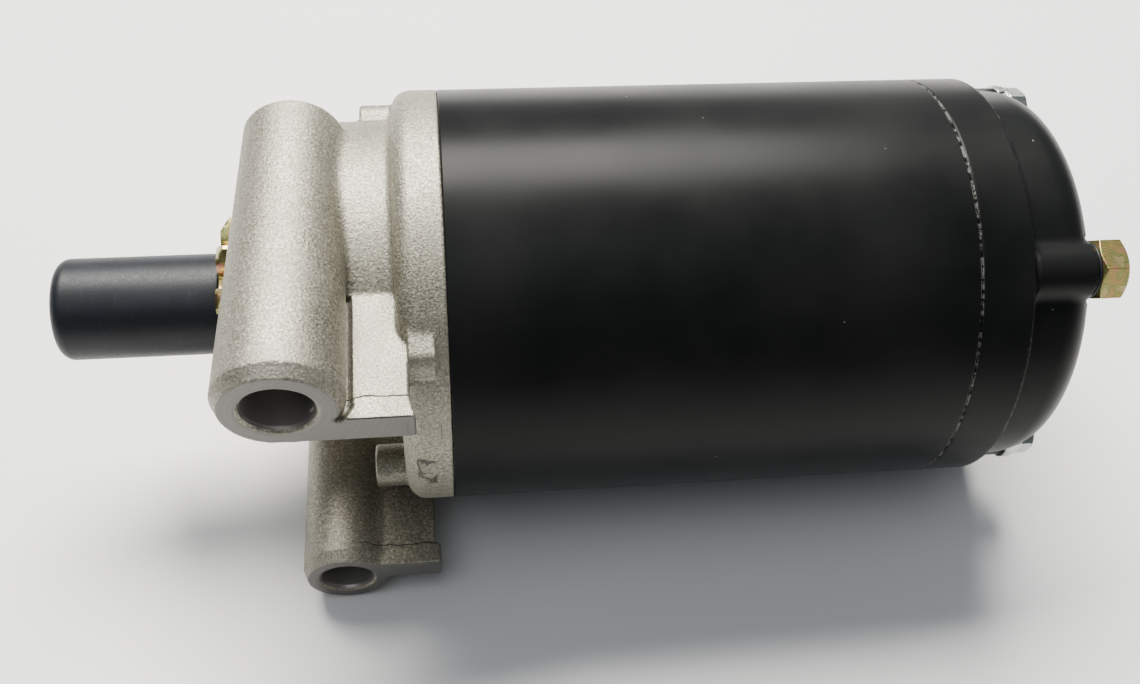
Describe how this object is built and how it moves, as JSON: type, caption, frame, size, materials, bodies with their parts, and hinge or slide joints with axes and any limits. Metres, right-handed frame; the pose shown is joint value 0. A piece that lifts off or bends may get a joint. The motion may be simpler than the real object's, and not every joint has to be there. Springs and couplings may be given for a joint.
{
  "type": "starter motor",
  "caption": "Small-engine electric starter: black motor can, cast drive end cap with two long mounting bosses, and an inertia drive pinion under a dust cover.",
  "frame": {"origin": "middle of the pinion's tooth face on the armature axis, with the drive at rest", "axes": "X along the armature axis, +X towards the terminal end; -Y out of the mounting bosses' seat faces; +Z from the lower boss to the upper boss"},
  "size_m": [0.1852, 0.0801, 0.0792],
  "materials": {
    "cast_aluminium": "shot-blasted casting",
    "black_paint": "satin black enamel",
    "clear_zinc": "clear zinc plate",
    "yellow_zinc": "iridescent yellow zinc plate",
    "black_nylon": "matte",
    "steel": "ground",
    "core_steel": "laminated",
    "copper": "enamelled copper",
    "phenolic": "moulded",
    "ferrite": "sintered",
    "bronze": "sintered",
    "carbon": "pressed carbon",
    "sheet_brass": "stamped sheet"
  },
  "bodies": {
    "housing": {"drive_end_cap": "cast_aluminium", "motor_can": "black_paint", "rear_end_cap": "black_paint", "through_bolts": "clear_zinc", "bolt_lock_washers": "clear_zinc", "terminal_insulator": "black_nylon", "terminal_stud": "yellow_zinc", "terminal_nut": "yellow_zinc", "terminal_bus_bar": "copper", "drive_end_bushing": "bronze", "rear_end_bushing": "bronze", "field_magnets": "ferrite", "magnet_clips": "steel", "brush_plate": "phenolic", "brush_holders": "sheet_brass", "brush_spring_1": "steel", "brush_spring_2": "steel", "brush_spring_3": "steel", "brush_spring_4": "steel"},
    "armature": {"armature_shaft": "steel", "armature_core": "core_steel", "armature_windings": "copper", "commutator_hub": "phenolic", "commutator_bars": "copper", "thrust_washers": "steel", "stop_gear_spacer": "steel", "stop_nut": "steel", "anti_drift_spring": "steel"},
    "cover": {"dust_cover": "black_nylon", "dust_cover_spacer": "steel"},
    "pinion": {"drive_pinion": "yellow_zinc"},
    "brush_1": {"brush_1": "carbon"},
    "brush_2": {"brush_2": "carbon"},
    "brush_3": {"brush_3": "carbon"},
    "brush_4": {"brush_4": "carbon"}
  },
  "joints": [
    {"name": "armature_spin", "type": "hinge", "parent": "housing", "child": "armature", "pos_m": [0, 0, 0], "axis": [1, 0, 0], "continuous": true},
    {"name": "pinion_travel", "type": "slide", "parent": "armature", "child": "cover", "axis": [-1, 0, 0], "range_m": [0, 0.0115], "stiffness_N_per_m": 300, "springref_m": -0.005, "deforming": ["anti_drift_spring"]},
    {"name": "pinion_turn", "type": "hinge", "parent": "cover", "child": "pinion", "pos_m": [0, 0, 0], "axis": [1, 0, 0], "range_deg": [0, 60.5]},
    {"name": "brush_1_lift", "type": "slide", "parent": "housing", "child": "brush_1", "axis": [0, -0.9925, 0.1219], "range_m": [0, 0.003], "stiffness_N_per_m": 800, "springref_m": -0.008, "deforming": ["brush_spring_1"]},
    {"name": "brush_2_lift", "type": "slide", "parent": "housing", "child": "brush_2", "axis": [0, 0.1219, 0.9925], "range_m": [0, 0.003], "stiffness_N_per_m": 800, "springref_m": -0.008, "deforming": ["brush_spring_2"]},
    {"name": "brush_3_lift", "type": "slide", "parent": "housing", "child": "brush_3", "axis": [0, 0.9925, -0.1219], "range_m": [0, 0.003], "stiffness_N_per_m": 800, "springref_m": -0.008, "deforming": ["brush_spring_3"]},
    {"name": "brush_4_lift", "type": "slide", "parent": "housing", "child": "brush_4", "axis": [0, -0.1219, -0.9925], "range_m": [0, 0.003], "stiffness_N_per_m": 800, "springref_m": -0.008, "deforming": ["brush_spring_4"]}
  ],
  "couplings": [
    {"joint": "pinion_turn", "follows": "pinion_travel", "rad_per_m": 91.061}
  ]
}
